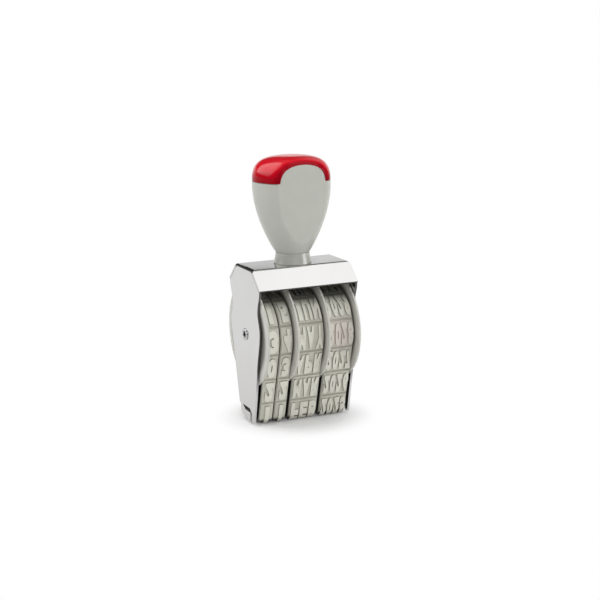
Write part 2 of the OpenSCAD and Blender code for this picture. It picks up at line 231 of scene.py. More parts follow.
# Painted shade: the plating is painted darker towards the foot.
painted_foot_shade = spread(tree, own_axis(tree, "Z"), 0.9, 0.0, *FOOT_SHADE_Z)
stain_and_shade(tree, shader, painted_foot_shade, bright, (0.53, 0.52, 0.512))

sheared_edge, tree, shader, dull = finish("sheared_edge", (0.15, 0.148, 0.145), (0.09, 0.09, 0.088),
                                          patch=400.0, gloss=(0.35, 0.5), grain=2400.0, depth=4e-6,
                                          metallic=1.0)
# Painted reflection: low down the sheared edges are painted bright, like the floor they mirror.
painted_floor_reflection = spread(tree, own_axis(tree, "Z"), 1.0, 0.0, *FLOOR_REFLECTION_Z)
stain_and_shade(tree, shader, painted_floor_reflection, dull, (0.66, 0.65, 0.65))

steel, tree, shader, bright = finish("axle_steel", (0.55, 0.55, 0.56), (0.40, 0.40, 0.41),
                                     patch=900.0, gloss=(0.08, 0.16), grain=2500.0, depth=2e-6,
                                     metallic=1.0, stretch=(0.2, 1.0, 1.0))
# Painted shade: the inside of each hollow end is painted near-black.
painted_hollow_shade = spread(tree, off_axle(tree), 1.0, 0.0, *HOLLOW_SHADE_EDGE)
stain_and_shade(tree, shader, painted_hollow_shade, bright, (0.02, 0.02, 0.02))

brass, *_ = finish("insert_brass", (0.60, 0.42, 0.16), (0.50, 0.33, 0.12), patch=500.0,
                   gloss=(0.2, 0.35), grain=1500.0, depth=2e-6, metallic=1.0)
platen_metal, tree, shader, black = finish("platen_metal", (0.05, 0.05, 0.05), (0.03, 0.03, 0.03),
                                           patch=400.0, gloss=(0.35, 0.5), grain=1800.0, depth=3e-6,
                                           metallic=1.0)
lug = spread(tree, maths(tree, "ABSOLUTE", own_axis(tree, "X")), 0.0, 1.0, *LUG_X)
stain_and_shade(tree, shader, lug, black, (0.62, 0.61, 0.60))
print("metal finishes:", [m.name for m in (plating, sheared_edge, steel, brass, platen_metal)])

# %% [markdown]
# ## Plastics
# The grip is moulded in a warm light grey with a soft shine. Its collar is the same plastic, glossier,
# and painted a little darker as painted shade. The wheels are a satin grey plastic, painted dark as
# painted shade where a flange comes down to its band.

# %% Plastics of the grip and the wheels
COLLAR_SHINE = 0.9
CREASE_SHADE_IN, CREASE_SHADE_OUT = 0.4 * MM, 1.2 * MM

grip_grey, *_ = finish("grip_plastic", (0.536, 0.543, 0.492), (0.514, 0.521, 0.472), patch=320.0,
                       gloss=(0.28, 0.32), grain=1600.0, depth=8e-7)
# Painted shade: the collar is the grip's plastic in a darker colour.
shaded_collar_grey, _, shader, _ = finish("shaded_collar_plastic", (0.45, 0.456, 0.413), (0.43, 0.436, 0.395),
                                   patch=320.0, gloss=(0.19, 0.23), grain=1600.0, depth=8e-7)
shader.inputs["Specular IOR Level"].default_value = COLLAR_SHINE
wheel_grey, tree, shader, clean = finish("wheel_plastic", (0.68, 0.675, 0.625), (0.62, 0.615, 0.565),
                                         patch=150.0, gloss=(0.42, 0.55), grain=2200.0, depth=6e-6)
# Painted shade: the plastic is painted dark near the band, where a flange comes down to it.
painted_crease_shade = spread(tree, off_axle(tree), 1.0, 0.0, tens_high.y - CREASE_SHADE_IN, tens_high.y + CREASE_SHADE_OUT)
stain_and_shade(tree, shader, painted_crease_shade, clean, (0.17, 0.165, 0.145))
print("plastic finishes:", [m.name for m in (grip_grey, shaded_collar_grey, wheel_grey)])

# %% [markdown]
# ## Red plastic
# The cap is a deep red. It is glossy on its shoulder, while its wall and the edge along the flats are
# less shiny and painted darker as painted shade, so both its colour and its shine change with the
# height and with the distance from the middle.

# %% Red plastic
cap_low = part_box("handle_cap")[0].z
WALL_SHADE_Z, SHINE_Z = ((cap_low + a * MM, cap_low + b * MM) for a, b in ((0.6, 3.6), (1.8, 3.0)))
DARK_Y, DULL_Y = (6.8 * MM, 7.9 * MM), (6.2 * MM, 7.2 * MM)

cap_red, tree, shader, red = finish("cap_plastic", (0.78, 0.006, 0.020), (0.72, 0.005, 0.017),
                                    patch=120.0, gloss=(0.10, 0.14), grain=900.0, depth=6e-7)
# Painted shade: the lower wall of the cap is painted darker.
painted_wall_shade = spread(tree, own_axis(tree, "Z"), 1.0, 0.0, *WALL_SHADE_Z)
red = stain_and_shade(tree, shader, painted_wall_shade, red, (0.34, 0.003, 0.010))
off_middle = maths(tree, "ABSOLUTE", own_axis(tree, "Y"))
# Painted shade: the edge along the flats is painted darker.
painted_flat_shade = spread(tree, off_middle, 0.0, 0.8, *DARK_Y)
stain_and_shade(tree, shader, painted_flat_shade, red, (0.26, 0.003, 0.010))
shine = spread(tree, own_axis(tree, "Z"), 0.06, 0.62, *SHINE_Z)
off_flat = spread(tree, off_middle, 1.0, 0.1, *DULL_Y)
tree.links.new(maths(tree, "MULTIPLY", shine, off_flat), shader.inputs["Specular IOR Level"])
print("red finish:", cap_red.name, "from height (mm):", round(cap_low / MM, 2))

# %% [markdown]
# ## From mesh to piece
# Each piece ends the same way: its mesh becomes an object at the origin, smooth except across sharp
# creases, any modifiers are applied, the piece is handed to its body, and the CAD nodes that it
# stands for are hidden.

# %% From mesh to piece
def mesh_of(name, shell):
    """A mesh with the shape of a finished bmesh, which is then let go."""
    mesh = bpy.data.meshes.new(name)
    shell.to_mesh(mesh)
    shell.free()
    return mesh


def put(name, mesh):
    """A new object at the origin for a finished mesh."""
    piece = bpy.data.objects.new(name, mesh)
    bpy.context.scene.collection.objects.link(piece)
    return piece


def smooth_by_angle(mesh, degrees):
    """Shades a mesh smooth, except across edges that are sharper than the angle."""
    for face in mesh.polygons:
        face.use_smooth = True
    mesh.set_sharp_from_angle(angle=math.radians(degrees))


def plain_mesh(piece):
    """The piece with its modifiers applied, as a plain mesh."""
    done = bpy.data.meshes.new_from_object(
        piece.evaluated_get(bpy.context.evaluated_depsgraph_get()))
    piece.modifiers.clear()
    piece.data = done
    return piece


def settle(piece, body, slot, *nodes):
    """Hands a piece to its body, in place of its CAD nodes; the slot is not used."""
    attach(piece, body)
    if nodes:
        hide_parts(*nodes)
    print(piece.name, "faces:", len(piece.data.polygons), "on", body)


# %% [markdown]
# ## Welded copies with soft edges
# A CAD node comes in as loose triangles with knife-sharp edges, and plated sheet without a rounded
# edge never catches the light. A copy of the node is welded, its flat triangles are dissolved into
# whole faces, and a Bevel modifier rounds the sharp edges. Hardened normals keep the flat faces
# flat, which matters on a mirror finish.

# %% Soft-edged copies
WELD, FLAT_ANGLE, SHEET_CREASE = 0.001 * MM, math.radians(0.4), 28


def bevel(piece, width, steps=2, degrees=35):
    """Adds a modifier that rounds the edges which are sharper than the angle."""
    soft = piece.modifiers.new("soft_edges", "BEVEL")
    soft.width, soft.segments = width, steps
    soft.limit_method, soft.angle_limit = "ANGLE", math.radians(degrees)
    soft.harden_normals = True
    return piece


def soft_copy(node, name, width, material):
    """A welded copy of a CAD node with rounded edges."""
    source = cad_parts[node].data
    shell = bmesh.new()
    corners = [shell.verts.new(v.co) for v in source.vertices]
    for face in source.polygons:
        shell.faces.new([corners[i] for i in face.vertices])
    bmesh.ops.remove_doubles(shell, verts=shell.verts, dist=WELD)
    bmesh.ops.dissolve_limit(shell, angle_limit=FLAT_ANGLE, verts=shell.verts, edges=shell.edges)
    mesh = mesh_of(name, shell)
    smooth_by_angle(mesh, SHEET_CREASE)
    mesh.materials.append(material)
    piece = bevel(put(name, mesh), width)
    flat_faces = piece.modifiers.new("flat_faces", "WEIGHTED_NORMAL")
    flat_faces.keep_sharp = True
    return plain_mesh(piece)


print("copies are welded within (mm):", WELD / MM)

# %% [markdown]
# ## Frame and platen
# The frame is one stamping of sheet: the top, two side plates bent down from it, and a sloped skirt
# front and rear. The edges of the plates and the lower ends of the skirts get the sheared finish. The
# platen is the bar at the foot, and its lugs show in the notches of the plates.

# %% Frame and platen
SHEET_EDGE, BAR_EDGE = 0.10 * MM, 0.12 * MM
PLATE_DEEP, PLATE_BELOW = 0.55 * MM, 5 * MM
SKIRT_END_Y, SKIRT_BELOW = 10.8 * MM, 5.5 * MM
EDGE_FACING = 0.3

bent_frame = soft_copy("frame", "bent_frame", SHEET_EDGE, plating)
bent_frame.data.materials.append(sheared_edge)
frame_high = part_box("frame")[1]
for face in bent_frame.data.polygons:
    middle = face.center
    in_plate = abs(middle.x) > frame_high.x - PLATE_DEEP and middle.z < frame_high.z - PLATE_BELOW
    skirt_end = abs(middle.y) > SKIRT_END_Y and middle.z > frame_high.z - SKIRT_BELOW
    if (in_plate or skirt_end) and abs(face.normal.x) < EDGE_FACING:
        face.material_index = 1
settle(bent_frame, "frame", "plated_sheet", "frame")
settle(soft_copy("platen", "platen_bar", BAR_EDGE, platen_metal), "frame", "platen_metal", "platen")

# %% [markdown]
# ## Turned pieces
# Wheels, the axle and the collar are all round, so they are drawn as half a section and spun. A
# helper fillets the corners of the section first: turned and moulded edges are always a little
# round.

# %% Spinning a section
FILLET_SHARE, NO_FILLET = 0.45, 1e-7
ON_AXIS, RING_WELD, ROUND_CREASE = 1e-9, 0.0005 * MM, 40


def filleted(outline, steps=3):
    """Rounds the corners of a closed outline of (radius, along, fillet) points."""
    done = []
    count = len(outline)
    for i, (r, x, fillet) in enumerate(outline):
        here = Vector((r, x))
        before = Vector(outline[i - 1][:2]) - here
        after = Vector(outline[(i + 1) % count][:2]) - here
        cut = min(fillet, before.length * FILLET_SHARE, after.length * FILLET_SHARE)
        if cut < NO_FILLET:
            done.append((r, x))
            continue
        first, last = here + before.normalized() * cut, here + after.normalized() * cut
        for k in range(steps + 1):
            t = k / steps
            bend = first.lerp(here, t).lerp(here.lerp(last, t), t)
            done.append((bend.x, bend.y))
    return done


def spun(name, outline, material, steps, along_x, height):
    """Spins a closed outline about a line along X (or Z) at that height."""
    shell = bmesh.new()
    rings = []
    for i in range(steps):
        a = 2 * math.pi * i / steps
        if along_x:
            ring = [(x, r * math.cos(a), height + r * math.sin(a)) for r, x in outline]
        else:
            ring = [(r * math.cos(a), r * math.sin(a), height + x) for r, x in outline]
        rings.append([shell.verts.new(p) for p in ring])
    for i, ring in enumerate(rings):
        following = rings[(i + 1) % steps]
        for j in range(len(ring)):
            k = (j + 1) % len(ring)
            if outline[j][0] > ON_AXIS or outline[k][0] > ON_AXIS:
                shell.faces.new((ring[j], following[j], following[k], ring[k]))
    bmesh.ops.remove_doubles(shell, verts=shell.verts, dist=RING_WELD)
    bmesh.ops.dissolve_degenerate(shell, edges=shell.edges, dist=RING_WELD)
    bmesh.ops.recalc_face_normals(shell, faces=shell.faces)
    mesh = mesh_of(name, shell)
    smooth_by_angle(mesh, ROUND_CREASE)
    mesh.materials.append(material)
    return put(name, mesh)


print("sections can be spun")

# %% [markdown]
# ## Axle
# The axle is a pin whose ends were pressed open over the side plates, like a hollow rivet. Seen from
# the side that is a small bright ring round a hollow, which the steel finish paints near-black as
# painted shade.

# %% Axle
frame_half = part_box("frame")[1].x
axle_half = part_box("axle")[1].x
PIN_R, END_R, HOLLOW_R, HOLLOW_DEEP = 1.25 * MM, 1.65 * MM, 0.75 * MM, 1.4 * MM
PIN_STEPS = 64
pin_end = [(0.0, axle_half - HOLLOW_DEEP, 0.0), (0.3 * HOLLOW_R, axle_half - HOLLOW_DEEP, 0.0),
           (HOLLOW_R, axle_half - 0.35 * HOLLOW_DEEP, 0.1 * MM), (1.25 * HOLLOW_R, axle_half, 0.15 * MM),
           (END_R, axle_half, 0.28 * MM), (END_R, frame_half, 0.05 * MM), (PIN_R, frame_half, 0.0)]
pin_outline = pin_end + [(r, -x, f) for r, x, f in reversed(pin_end)]
axle = spun("hollow_axle", filleted(pin_outline), steel, PIN_STEPS, True, AXLE_Z)
settle(axle, "frame", "steel", "axle")

# %% [markdown]
# ## Finger wheels
# A wheel is a hollow drum with a hub, and a flange that stands out past the band so that a finger
# can turn it. The rim of the flange has fine teeth for grip. The drum and flange are spun, and the
# teeth are a Geometry Nodes tree: one small round bar, set on the points of a circle. Three helpers
# start a tree, end it and run it on a piece.

# %% Tree helpers
def new_tree(name, sockets):
    """An empty geometry tree with a Geometry input and output and the named inputs."""
    tree = bpy.data.node_groups.new(name, "GeometryNodeTree")
    tree.interface.new_socket("Geometry", in_out="INPUT", socket_type="NodeSocketGeometry")
    for label, kind in sockets:
        tree.interface.new_socket(label, in_out="INPUT", socket_type="NodeSocket" + kind)
    tree.interface.new_socket("Geometry", in_out="OUTPUT", socket_type="NodeSocketGeometry")
    return tree, tree.nodes.new("NodeGroupInput").outputs


def end_tree(tree, shape, material):
    """Ends a tree: its instances become real geometry, which gets its material."""
    real = add(tree, "GeometryNodeRealizeInstances", Geometry=shape)
    coat = add(tree, "GeometryNodeSetMaterial", Geometry=real.outputs["Geometry"], Material=material)
    add(tree, "NodeGroupOutput", Geometry=coat.outputs["Geometry"])
    print("tree:", tree.name, "nodes:", len(tree.nodes))


def grow(piece, tree, **values):
    """Runs a tree on a piece with its inputs set, and keeps the result as a plain mesh."""
    modifier = piece.modifiers.new(tree.name, "NODES")
    names = {s.name: s.identifier for s in tree.interface.items_tree if s.in_out == "INPUT"}
    modifier.node_group = tree
    for label, value in values.items():
        modifier[names[label.replace("_", " ")]] = value
    return plain_mesh(piece)


print("each tree ends in real geometry with a material")

# %% Toothed rim tree
TOOTH_SIDES = 8
teeth_tree, given = new_tree("rim_teeth", [
    ("Teeth", "Int"), ("Rim Radius", "Float"), ("Tooth Radius", "Float"), ("Tooth Length", "Float"),
    ("Middle", "Vector"), ("Plastic", "Material")])
ring = add(teeth_tree, "GeometryNodeMeshCircle", Vertices=given["Teeth"], Radius=given["Rim Radius"])
tooth = add(teeth_tree, "GeometryNodeMeshCylinder", Vertices=TOOTH_SIDES,
            Radius=given["Tooth Radius"], Depth=given["Tooth Length"])
set_teeth = add(teeth_tree, "GeometryNodeInstanceOnPoints", Points=ring.outputs["Mesh"],
                Instance=tooth.outputs["Mesh"])
turned = add(teeth_tree, "GeometryNodeTransform", Geometry=set_teeth.outputs["Instances"],
             Translation=given["Middle"], Rotation=(0.0, math.pi / 2, 0.0))
whole = add(teeth_tree, "GeometryNodeJoinGeometry", Geometry=turned.outputs["Geometry"])
teeth_tree.links.new(given["Geometry"], whole.inputs["Geometry"])
end_tree(teeth_tree, whole.outputs["Geometry"], given["Plastic"])

# %% [markdown]
# ## The four wheels
# All four wheels have the same finger flange: the day tens wheel on its left, the other three on
# their right. Each hollow opens away from the flange. The drums have low ribs that drive the bands,
# made with the tooth tree too. The box of the node gives the ends of each wheel.

# %% The four wheels
BORE_R, HUB_R, DRUM_R, DRUM_WALL, WEB = (v * MM for v in (1.3, 3.0, 9.88, 1.1, 1.0))
FLANGE_T, TOOTH_R, RIB_R, EDGE, LIP = (v * MM for v in (0.6, 0.13, 0.3, 0.15, 0.1))
TOOTH_LEN = FLANGE_T - 1.4 * EDGE
RIM_TEETH, DRUM_RIBS, ROUND_STEPS = 72, 24, 96


def finger_wheel(node, rim_left):
    """A turned wheel with its flange on the left or right, rim teeth and drum ribs."""
    low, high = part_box(node)
    rim_r = high.y - TOOTH_R
    closed, opened = (low.x, high.x) if rim_left else (high.x, low.x)
    inward = 1.0 if rim_left else -1.0
    shoulder = closed + inward * FLANGE_T
    floor_x = shoulder + inward * WEB
    outline = [(BORE_R, closed, 0.0), (rim_r, closed, EDGE), (rim_r, shoulder, EDGE),
               (DRUM_R, shoulder, 0.0), (DRUM_R, opened, LIP),
               (DRUM_R - DRUM_WALL, opened, LIP), (DRUM_R - DRUM_WALL, floor_x, 0.0),
               (HUB_R, floor_x, 0.0), (HUB_R, opened, LIP), (BORE_R, opened, 0.0)]
    wheel = spun(node + "_turned", filleted(outline), wheel_grey, ROUND_STEPS, True, AXLE_Z)
    rim_middle = ((closed + shoulder) / 2, 0.0, AXLE_Z)
    grow(wheel, teeth_tree, Teeth=RIM_TEETH, Rim_Radius=rim_r, Tooth_Radius=TOOTH_R,
         Tooth_Length=TOOTH_LEN, Middle=rim_middle, Plastic=wheel_grey)
    drum_middle = ((shoulder + opened) / 2, 0.0, AXLE_Z)
    grow(wheel, teeth_tree, Teeth=DRUM_RIBS, Rim_Radius=DRUM_R, Tooth_Radius=RIB_R,
         Tooth_Length=abs(opened - shoulder) - 2 * EDGE, Middle=drum_middle, Plastic=wheel_grey)
    settle(wheel, node, "wheel_plastic", node)


finger_wheel("day_tens_wheel", True)
for wheel_name in ("day_units_wheel", "month_wheel", "year_wheel"):
    finger_wheel(wheel_name, False)

# %% [markdown]
# ## The loop of a band
# All four bands follow one closed line: a flat under the platen, round its edges, two straight runs
# and over the wheel. The line is worked out once, half way through the thickness of the band, and
# drawn as a curve. Distance along it starts under the middle of the platen and goes up the front.

# %% The size of the loop
BAND_T, TYPE_H = 0.9 * MM, 0.8 * MM
PLATEN_FLAT, PLATEN_EDGE = 6.2 * MM, 0.85 * MM

wheel_r = tens_high.y - TYPE_H - BAND_T
edge_y, edge_z = PLATEN_FLAT / 2, TYPE_H + BAND_T + PLATEN_EDGE
gap = math.hypot(edge_y, AXLE_Z - edge_z)
lean = math.asin((wheel_r - PLATEN_EDGE) / gap) - math.atan2(edge_y, AXLE_Z - edge_z)
run_len = math.sqrt(gap ** 2 - (wheel_r - PLATEN_EDGE) ** 2)
skin = BAND_T / 2
edge_len = (PLATEN_EDGE + skin) * (math.pi / 2 - lean)
wheel_len = (wheel_r + skin) * (math.pi / 2 + lean)
half_loop = edge_y + edge_len + run_len + wheel_len
loop_len = 2 * half_loop


def half_point(s):
    """A point (depth, height) of half the loop, s along it from the bottom."""
    if s < edge_y:
        return s, edge_z - PLATEN_EDGE - skin
    s -= edge_y
    if s < edge_len:
        a = s / edge_len * (math.pi / 2 - lean) - math.pi / 2
        return edge_y + (PLATEN_EDGE + skin) * math.cos(a), edge_z + (PLATEN_EDGE + skin) * math.sin(a)
    s -= edge_len
    if s < run_len:
        return (edge_y + (PLATEN_EDGE + skin) * math.cos(lean) + s * math.sin(lean),
                edge_z - (PLATEN_EDGE + skin) * math.sin(lean) + s * math.cos(lean))
    a = (s - run_len) / wheel_len * (math.pi / 2 + lean) - lean
    return (wheel_r + skin) * math.cos(a), AXLE_Z + (wheel_r + skin) * math.sin(a)


CELLS = 12
pitch = loop_len / CELLS
print("loop (mm):", round(loop_len / MM, 2), "pitch (mm):", round(pitch / MM, 3))

# %% The line of the loop
LOOP_POINTS = 720
line = bpy.data.curves.new("band_line", "CURVE")
line.dimensions = "3D"
spline = line.splines.new("POLY")
spline.points.add(LOOP_POINTS - 1)
for i, point in enumerate(spline.points):
    travelled = loop_len * i / LOOP_POINTS
    if travelled <= half_loop:
        depth, height = half_point(travelled)
        point.co = (0.0, -depth, height, 1.0)
    else:
        depth, height = half_point(loop_len - travelled)
        point.co = (0.0, depth, height, 1.0)
spline.use_cyclic_u = True
band_line = bpy.data.objects.new("band_line", line)
bpy.context.scene.collection.objects.link(band_line)
print("line points:", len(spline.points))

# %% [markdown]
# ## Band tree
# A band is easiest to make flat: X across, Y along, Z up. The tree repeats one raised pad for every
# cell, adds the flat strip and its characters, then moves each point onto the loop: its Y becomes a
# distance along the line, and its Z a height along the line's outward direction.

# %% Band tree: the flat band
band_tree, given = new_tree("type_band", [
    ("Line", "Object"), ("Pad", "Object"), ("Cells", "Int"), ("Pitch", "Float"), ("Start", "Vector"),
    ("Skin", "Float"), ("Rubber", "Material")])
loop = add(band_tree, "GeometryNodeObjectInfo", Object=given["Line"]).outputs["Geometry"]
pad = add(band_tree, "GeometryNodeObjectInfo", Object=given["Pad"]).outputs["Geometry"]
step = add(band_tree, "ShaderNodeCombineXYZ", Y=given["Pitch"])
row = add(band_tree, "GeometryNodeMeshLine", Count=given["Cells"], Start_Location=given["Start"],
          Offset=step.outputs["Vector"])
pads = add(band_tree, "GeometryNodeInstanceOnPoints", Points=row.outputs["Mesh"], Instance=pad)
flat_pads = add(band_tree, "GeometryNodeRealizeInstances", Geometry=pads.outputs["Instances"])
flat = add(band_tree, "GeometryNodeJoinGeometry", Geometry=flat_pads.outputs["Geometry"])
band_tree.links.new(given["Geometry"], flat.inputs["Geometry"])
print("flat band nodes:", len(band_tree.nodes))

# %% Band tree: a place on the loop
here = add(band_tree, "GeometryNodeInputPosition")
x_y_z = add(band_tree, "ShaderNodeSeparateXYZ", Vector=here.outputs["Position"]).outputs
length = add(band_tree, "GeometryNodeCurveLength", Curve=loop)
travel = maths(band_tree, "FLOORED_MODULO", x_y_z["Y"], length.outputs["Length"])
sample = add(band_tree, "GeometryNodeSampleCurve", Curves=loop)
sample.mode = "LENGTH"
band_tree.links.new(travel, sample.inputs["Length"])
outward = add(band_tree, "ShaderNodeVectorMath", (1.0, 0.0, 0.0), sample.outputs["Tangent"],
              how="CROSS_PRODUCT")
rise = maths(band_tree, "SUBTRACT", x_y_z["Z"], given["Skin"])
lift = add(band_tree, "ShaderNodeVectorMath", outward.outputs["Vector"], how="SCALE", Scale=rise)
lifted = add(band_tree, "ShaderNodeVectorMath", sample.outputs["Position"], lift.outputs["Vector"])
across = add(band_tree, "ShaderNodeCombineXYZ", X=x_y_z["X"])
onto = add(band_tree, "ShaderNodeVectorMath", lifted.outputs["Vector"], across.outputs["Vector"])
print("nodes with the loop:", len(band_tree.nodes))

# %% Band tree: bend and coat
keep_rise = add(band_tree, "GeometryNodeStoreNamedAttribute", Geometry=flat.outputs["Geometry"],
                Name="rise", Value=x_y_z["Z"])
bent = add(band_tree, "GeometryNodeSetPosition", Geometry=keep_rise.outputs["Geometry"],
           Position=onto.outputs["Vector"])
sealed = add(band_tree, "GeometryNodeMergeByDistance", Geometry=bent.outputs["Geometry"], Distance=WELD)
end_tree(band_tree, sealed.outputs["Geometry"], given["Rubber"])

# %% [markdown]
# ## Raised characters
# Type is tall, narrow and bold, and it is cut as a mirror image so that it prints the right way
# round. Each character comes from Blender's own font as a text object, made bold with an offset and
# given a rounded edge, and is then squeezed into its slot. It is cut into short steps along the
# band, because a long straight edge could not follow the wheel.

# %% Raised characters
PAD_H = 0.30 * MM
STEP = 0.6 * MM
NARROW = {"1": 0.5, "J": 0.85}
TEXT_STEPS, TEXT_BOLD, TEXT_DEEP, TEXT_ROUND, TEXT_WELD = 3, 0.045, 0.2, 0.03, 1e-5
ROOT, CUT_WELD = 0.05 * MM, 1e-8


def cut_in_steps(shell, length, step):
    """Cuts a flat shape across Y so that it can bend."""
    count = max(1, round(length / step))
    for k in range(1, count):
        bmesh.ops.bisect_plane(shell, geom=shell.verts[:] + shell.edges[:] + shell.faces[:],
                               plane_co=(0.0, length * (k / count - 0.5), 0.0),
                               plane_no=(0.0, 1.0, 0.0), dist=CUT_WELD)


def cut_character(character, width, length):
    """One character in mirror image, centred, with its face at the full height of the type."""
    text = bpy.data.curves.new("character", "FONT")
    text.body = character
    text.resolution_u, text.offset, text.extrude = TEXT_STEPS, TEXT_BOLD, TEXT_DEEP
    text.bevel_depth, text.bevel_resolution = TEXT_ROUND, 1
    holder = put("character", text)
    mesh = bpy.data.meshes.new_from_object(
        holder.evaluated_get(bpy.context.evaluated_depsgraph_get()))
    bpy.data.objects.remove(holder)
    bpy.data.curves.remove(text)
    shell = bmesh.new()
    shell.from_mesh(mesh)
    bpy.data.meshes.remove(mesh)
    bmesh.ops.remove_doubles(shell, verts=shell.verts, dist=TEXT_WELD)
    low = Vector(min(v.co[k] for v in shell.verts) for k in range(3))
    high = Vector(max(v.co[k] for v in shell.verts) for k in range(3))
    middle, size = (low + high) / 2, high - low
    foot = BAND_T + PAD_H - ROOT
    for v in shell.verts:
        x, y, z = ((v.co[k] - middle[k]) / size[k] for k in range(3))
        v.co = (x * width * NARROW.get(character, 1.0), -y * length,
                foot + (z + 0.5) * (BAND_T + TYPE_H - foot))
    cut_in_steps(shell, length, STEP)
    bmesh.ops.recalc_face_normals(shell, faces=shell.faces)
    return mesh_of("character_" + character, shell)


print("type stands over its pads by (mm):", round((TYPE_H - PAD_H) / MM, 2))

# %% [markdown]
# ## Rubber
# The bands are pale rubber that has seen some ink. The band tree keeps each point's height over the
# back of the band as the attribute "rise": the faces of the type are wiped clean and light, their
# walls are painted dark as old ink and painted shade, the grooves between the pads are painted a
# little darker as painted shade, and the sides of the band are painted near-black as painted shade.
# A faint pink trace of ink lies on the front of the year band, the rubber between the type at the
# foot is painted dark as dried ink and painted contact shadow, and the rubber under the skirts is
# painted darker as painted shade.

# %% Rubber
PAD_TOP, TYPE_FACE = BAND_T + PAD_H, BAND_T + TYPE_H
TRACE_AT, TRACE_R = (9.0 * MM, -11.0 * MM, 25.0 * MM), (1.5 * MM, 7.0 * MM)
SKIRT_SHADE_Z, FOOT_Z = (33.4 * MM, 35.0 * MM), (1.0 * MM, 1.8 * MM)

rubber, tree, shader, clean = finish("band_rubber", (0.765, 0.757, 0.665), (0.695, 0.687, 0.600),
                                     patch=260.0, gloss=(0.5, 0.65), grain=2600.0, depth=8e-6)
kept_rise = add(tree, "ShaderNodeAttribute")
kept_rise.attribute_name = "rise"
height = kept_rise.outputs["Fac"]
# Painted shade: the grooves between the pads are painted darker.
painted_groove_shade = spread(tree, height, 1.0, 0.0, BAND_T, BAND_T + 0.6 * TYPE_H)
ink_and_shade_colour = stain_and_shade(tree, shader, painted_groove_shade, clean, (0.46, 0.452, 0.385))
# Old ink and painted shade: the walls of the type are painted dark.
wall_ink_and_shade = spread(tree, height, 0.0, 0.8, PAD_TOP + 0.02 * MM, PAD_TOP + 0.10 * MM)
ink_and_shade_colour = stain_and_shade(tree, shader, wall_ink_and_shade, ink_and_shade_colour, (0.13, 0.127, 0.108))
on_face = spread(tree, height, 0.0, 1.0, TYPE_FACE - 0.18 * MM, TYPE_FACE - 0.05 * MM)
ink_and_shade_colour = stain_and_shade(tree, shader, on_face, ink_and_shade_colour, (0.765, 0.757, 0.665))
# Painted shade: the sides of the band are painted near-black.
painted_side_shade = spread(tree, height, 1.0, 0.0, 0.55 * BAND_T, 0.98 * BAND_T)
ink_and_shade_colour = stain_and_shade(tree, shader, painted_side_shade, ink_and_shade_colour, (0.03, 0.03, 0.026))
print("rubber finish:", rubber.name)

# %% Ink and painted shade on the rubber
place = add(tree, "ShaderNodeTexCoord")
from_trace = add(tree, "ShaderNodeVectorMath", place.outputs["Object"], TRACE_AT, how="DISTANCE")
near = spread(tree, from_trace.outputs["Value"], 0.6, 0.0, *TRACE_R)
ink_and_shade_colour = stain_and_shade(tree, shader, near, ink_and_shade_colour, (0.66, 0.56, 0.53))
# Painted shade: the rubber under the skirts is painted darker.
painted_skirt_shade = spread(tree, own_axis(tree, "Z"), 0.0, 0.8, *SKIRT_SHADE_Z)
ink_and_shade_colour = stain_and_shade(tree, shader, painted_skirt_shade, ink_and_shade_colour, (0.07, 0.07, 0.055))
# Dried ink and painted contact shadow: low on the loop the rubber between the type is painted dark.
at_foot = spread(tree, own_axis(tree, "Z"), 1.0, 0.0, *FOOT_Z)
between = spread(tree, height, 1.0, 0.3, BAND_T + 0.4 * TYPE_H, BAND_T + 0.9 * TYPE_H)
ink_and_contact_shade = maths(tree, "MULTIPLY", at_foot, between)
stain_and_shade(tree, shader, ink_and_contact_shade, ink_and_shade_colour, (0.03, 0.028, 0.025))
print("rubber nodes:", len(tree.nodes))

# %% [markdown]
# ## The four bands
# The day bands carry plain digits, the month band the months and the year band a run of years. A
# strip is drawn flat with a little rounding along its edges, the characters are set on it cell by
# cell, and the tree does the rest.

# %% Strip and pad
SIDE, PAD_LEN = 0.20 * MM, pitch - 0.55 * MM
STRIP_SOFT, PAD_SOFT, PAD_ROOT = 0.12 * MM, 0.14 * MM, 0.1 * MM
STATIONS = 288


def flat_strip(low_x, high_x):
    """The base of a band, laid out flat, open at both ends where it meets itself."""
    section = [(low_x, 0.0), (high_x, 0.0), (high_x, BAND_T - STRIP_SOFT), (high_x - STRIP_SOFT, BAND_T),
               (low_x + STRIP_SOFT, BAND_T), (low_x, BAND_T - STRIP_SOFT)]
    shell = bmesh.new()
    rows = [[shell.verts.new((x, loop_len * i / STATIONS, z)) for x, z in section]
            for i in range(STATIONS + 1)]
    for first, second in zip(rows, rows[1:]):
        for j in range(len(section)):
            k = (j + 1) % len(section)
            shell.faces.new((first[j], first[k], second[k], second[j]))
    bmesh.ops.recalc_face_normals(shell, faces=shell.faces)
    return shell


def cell_pad(low_x, high_x):
    """The low raised pad under the characters of one cell."""
    shell = bmesh.new()
    bmesh.ops.create_cube(shell, size=1.0)
    low_z, high_z = BAND_T - PAD_ROOT, BAND_T + PAD_H
    for v in shell.verts:
        v.co = ((low_x + high_x) / 2 + v.co.x * (high_x - low_x - 2 * SIDE), v.co.y * PAD_LEN,
                (low_z + high_z) / 2 + v.co.z * (high_z - low_z))
    top = [e for e in shell.edges if all(v.co.z > BAND_T for v in e.verts)]
    bmesh.ops.bevel(shell, geom=top, offset=PAD_SOFT, segments=2, affect="EDGES", profile=0.5)
    cut_in_steps(shell, PAD_LEN, STEP)
    return put("cell_pad", mesh_of("cell_pad", shell))


print("pad length (mm):", round(PAD_LEN / MM, 2))

# %% The four bands
TYPE_LEN, TYPE_SHIFT, TYPE_CREASE = 6.0 * MM, 1.9 * MM, 32
WORD_FILL, DIGIT_FILL = 0.84, 0.70
MONTHS = ["JAN", "FEB", "MAR", "APR", "MAY", "JUN", "JUL", "AUG", "SEP", "OCT", "NOV", "DEC"]
FIRST_YEAR = 2024


